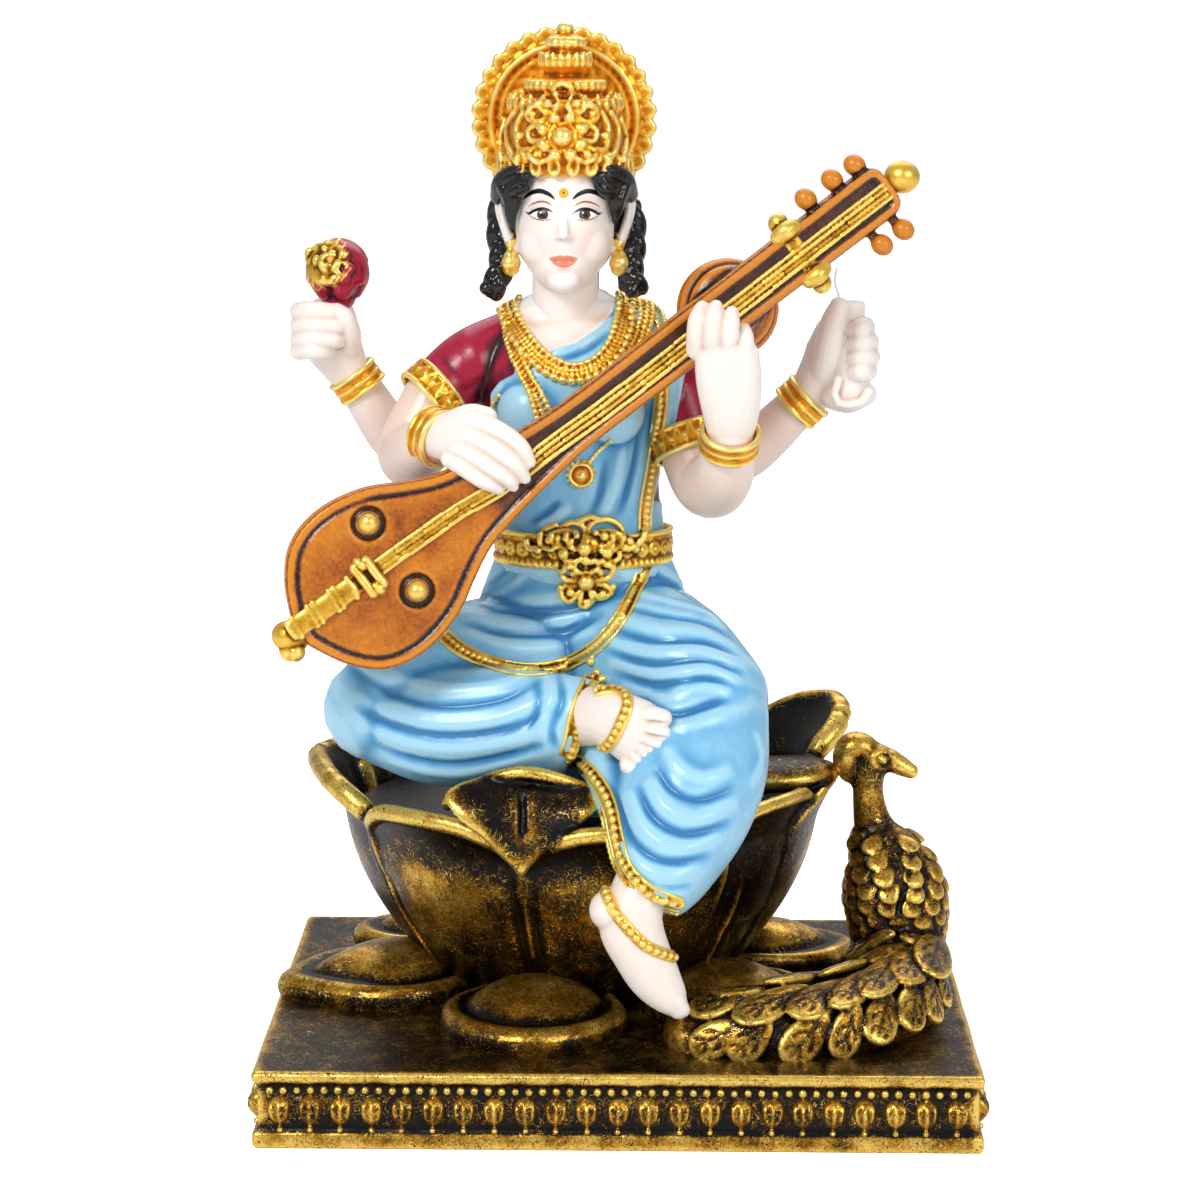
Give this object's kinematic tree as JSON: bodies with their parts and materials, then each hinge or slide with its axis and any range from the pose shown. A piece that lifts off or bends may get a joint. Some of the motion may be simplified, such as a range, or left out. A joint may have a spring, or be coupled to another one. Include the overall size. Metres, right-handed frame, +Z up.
{
  "type": "seated four-armed goddess statuette",
  "caption": "Painted resin statuette: a seated four-armed goddess playing a long-necked lute, on a lotus seat with a peacock, over a rectangular plinth with a petal frieze.",
  "frame": {"origin": "middle of the plinth's underside, on the surface it stands on", "axes": "+Z up, the figure faces -Y, +X towards the peacock"},
  "size_m": [0.184, 0.146, 0.278],
  "materials": {
    "painted_resin": "glossy paint over white cast resin: sky-blue sari, crimson blouse, gold crown and jewellery, orange-brown lute, bare milky skin",
    "bronzed_resin": "black-brown lacquer dry-brushed with gold on the raised edges"
  },
  "bodies": {
    "root": {"goddess": "painted_resin", "lotus_base": "bronzed_resin"}
  },
  "joints": []
}
